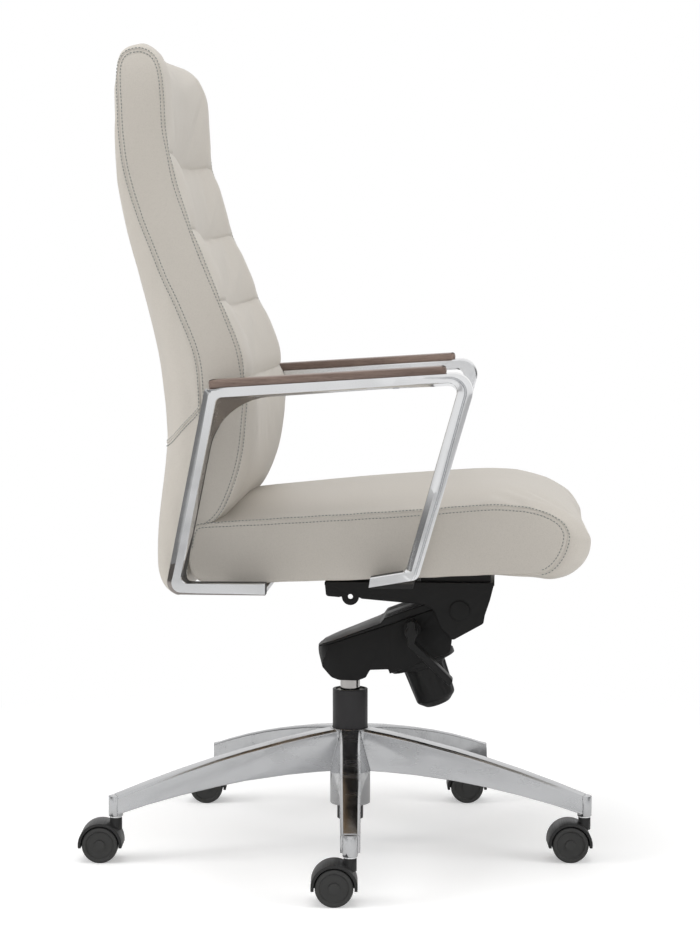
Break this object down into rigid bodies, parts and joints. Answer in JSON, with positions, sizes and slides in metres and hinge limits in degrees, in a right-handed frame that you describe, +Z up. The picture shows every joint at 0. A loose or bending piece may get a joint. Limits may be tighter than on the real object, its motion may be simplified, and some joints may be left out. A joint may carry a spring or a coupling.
{
  "type": "office chair",
  "caption": "High-backed swivel office chair with leather cushions, closed aluminium arms with wooden caps, knee-tilt mechanism, gas lift and castor base.",
  "frame": {"origin": "on the swivel axis at floor level, under the centre of the base", "axes": "+Z up along the swivel axis; the chair faces -Y; +X is the sitter's left"},
  "size_m": [0.689, 0.7129, 1.11],
  "materials": {
    "leather": "satin",
    "polished_aluminium": "polished",
    "walnut": "satin",
    "plywood": "matte",
    "black_paint": "satin",
    "cast_black": "satin",
    "black_plastic": "satin",
    "black_gloss": "gloss",
    "wheel_tread": "satin",
    "chrome": "polished",
    "steel": "satin",
    "nylon": "matte"
  },
  "bodies": {
    "base": {"base_spider": "polished_aluminium", "column_tube": "black_paint", "guide_bush": "nylon", "thrust_bearing": "steel", "castor_stems": "chrome"},
    "castor_1": {"castor_housing_1": "black_gloss", "castor_axle_1": "steel"},
    "wheel_1a": {"castor_wheel_1a": "wheel_tread"},
    "wheel_1b": {"castor_wheel_1b": "wheel_tread"},
    "castor_2": {"castor_housing_2": "black_gloss", "castor_axle_2": "steel"},
    "wheel_2a": {"castor_wheel_2a": "wheel_tread"},
    "wheel_2b": {"castor_wheel_2b": "wheel_tread"},
    "castor_3": {"castor_housing_3": "black_gloss", "castor_axle_3": "steel"},
    "wheel_3a": {"castor_wheel_3a": "wheel_tread"},
    "wheel_3b": {"castor_wheel_3b": "wheel_tread"},
    "castor_4": {"castor_housing_4": "black_gloss", "castor_axle_4": "steel"},
    "wheel_4a": {"castor_wheel_4a": "wheel_tread"},
    "wheel_4b": {"castor_wheel_4b": "wheel_tread"},
    "castor_5": {"castor_housing_5": "black_gloss", "castor_axle_5": "steel"},
    "wheel_5a": {"castor_wheel_5a": "wheel_tread"},
    "wheel_5b": {"castor_wheel_5b": "wheel_tread"},
    "gas_rod": {"piston_rod": "chrome", "retaining_clip": "steel"},
    "lift": {"gas_cylinder": "chrome", "tilt_housing": "cast_black", "housing_cover": "black_plastic", "spring_cover": "black_plastic", "knee_bushes": "nylon", "tension_spring": "steel"},
    "seat": {"knee_axle": "steel", "tilt_arm": "steel", "seat_bracket": "black_paint", "front_spacer": "black_plastic", "rear_spacer": "black_plastic", "bracket_bolts": "steel", "seat_pan": "plywood", "seat_cushion": "leather", "back_board": "plywood", "back_cushion": "leather", "back_bars": "black_paint", "back_bolts": "steel", "arm_frame_right": "polished_aluminium", "arm_frame_left": "polished_aluminium", "arm_cap_right": "walnut", "arm_cap_left": "walnut", "arm_bolts": "steel", "cap_screws": "steel"},
    "tension_control": {"tension_knob": "black_plastic", "tension_screw": "steel"},
    "tension_nut": {"tension_nut": "steel"},
    "lock_bush": {"lever_bush": "nylon"},
    "height_lever": {"lever_rod": "steel", "lever_handle": "black_plastic", "release_arm": "steel"},
    "valve": {"valve_pin": "steel"}
  },
  "joints": [
    {"name": "castor_1_swivel", "type": "hinge", "parent": "base", "child": "castor_1", "pos_m": [-0.34132, -0.02147, 0.05], "axis": [0, 0, 1], "continuous": true},
    {"name": "wheel_1a_roll", "type": "hinge", "parent": "castor_1", "child": "wheel_1a", "pos_m": [-0.34263, -0.00081, 0.025], "axis": [0.998, 0.0628, 0], "continuous": true},
    {"name": "wheel_1b_roll", "type": "hinge", "parent": "castor_1", "child": "wheel_1b", "pos_m": [-0.34263, -0.00081, 0.025], "axis": [0.998, 0.0628, 0], "continuous": true},
    {"name": "castor_2_swivel", "type": "hinge", "parent": "base", "child": "castor_2", "pos_m": [-0.08505, -0.33126, 0.05], "axis": [0, 0, 1], "continuous": true},
    {"name": "wheel_2a_roll", "type": "hinge", "parent": "castor_2", "child": "wheel_2a", "pos_m": [-0.08635, -0.3106, 0.025], "axis": [0.998, 0.0628, 0], "continuous": true},
    {"name": "wheel_2b_roll", "type": "hinge", "parent": "castor_2", "child": "wheel_2b", "pos_m": [-0.08635, -0.3106, 0.025], "axis": [0.998, 0.0628, 0], "continuous": true},
    {"name": "castor_3_swivel", "type": "hinge", "parent": "base", "child": "castor_3", "pos_m": [0.28876, -0.18325, 0.05], "axis": [0, 0, 1], "continuous": true},
    {"name": "wheel_3a_roll", "type": "hinge", "parent": "castor_3", "child": "wheel_3a", "pos_m": [0.28746, -0.16259, 0.025], "axis": [0.998, 0.0628, 0], "continuous": true},
    {"name": "wheel_3b_roll", "type": "hinge", "parent": "castor_3", "child": "wheel_3b", "pos_m": [0.28746, -0.16259, 0.025], "axis": [0.998, 0.0628, 0], "continuous": true},
    {"name": "castor_4_swivel", "type": "hinge", "parent": "base", "child": "castor_4", "pos_m": [0.26352, 0.218, 0.05], "axis": [0, 0, 1], "continuous": true},
    {"name": "wheel_4a_roll", "type": "hinge", "parent": "castor_4", "child": "wheel_4a", "pos_m": [0.26222, 0.23866, 0.025], "axis": [0.998, 0.0628, 0], "continuous": true},
    {"name": "wheel_4b_roll", "type": "hinge", "parent": "castor_4", "child": "wheel_4b", "pos_m": [0.26222, 0.23866, 0.025], "axis": [0.998, 0.0628, 0], "continuous": true},
    {"name": "castor_5_swivel", "type": "hinge", "parent": "base", "child": "castor_5", "pos_m": [-0.1259, 0.31798, 0.05], "axis": [0, 0, 1], "continuous": true},
    {"name": "wheel_5a_roll", "type": "hinge", "parent": "castor_5", "child": "wheel_5a", "pos_m": [-0.1272, 0.33864, 0.025], "axis": [0.998, 0.0628, 0], "continuous": true},
    {"name": "wheel_5b_roll", "type": "hinge", "parent": "castor_5", "child": "wheel_5b", "pos_m": [-0.1272, 0.33864, 0.025], "axis": [0.998, 0.0628, 0], "continuous": true},
    {"name": "chair_swivel", "type": "hinge", "parent": "base", "child": "gas_rod", "pos_m": [0, 0, 0.1], "axis": [0, 0, 1], "continuous": true},
    {"name": "gas_lift", "type": "slide", "parent": "gas_rod", "child": "lift", "axis": [0, 0, 1], "range_m": [-0.01, 0.09]},
    {"name": "seat_tilt", "type": "hinge", "parent": "lift", "child": "seat", "pos_m": [0, -0.157, 0.346], "axis": [-1, 0, 0], "range_deg": [0, 13], "stiffness_Nm_per_rad": 150, "springref_deg": -34.38},
    {"name": "tension_turn", "type": "hinge", "parent": "lift", "child": "tension_control", "pos_m": [0, -0.1045, 0.2615], "axis": [0, 0.342, 0.9397], "range_deg": [0, 2160]},
    {"name": "nut_rise", "type": "slide", "parent": "lift", "child": "tension_nut", "axis": [0, 0.342, 0.9397], "range_m": [0, 0.0121], "deforming": ["tension_spring"]},
    {"name": "tilt_lock", "type": "slide", "parent": "lift", "child": "lock_bush", "axis": [1, 0, 0], "range_m": [0, 0.012]},
    {"name": "height_lever_lift", "type": "hinge", "parent": "lock_bush", "child": "height_lever", "pos_m": [-0.06, -0.091, 0.3185], "axis": [-1, 0, 0], "range_deg": [0, 4], "stiffness_Nm_per_rad": 1.5, "springref_deg": -8.59},
    {"name": "valve_press", "type": "slide", "parent": "lift", "child": "valve", "axis": [0, 0, -1], "range_m": [0, 0.0064]}
  ],
  "couplings": [
    {"joint": "nut_rise", "follows": "tension_turn", "m_per_rad": 0.00031831},
    {"joint": "valve_press", "follows": "height_lever_lift", "m_per_rad": 0.091}
  ]
}
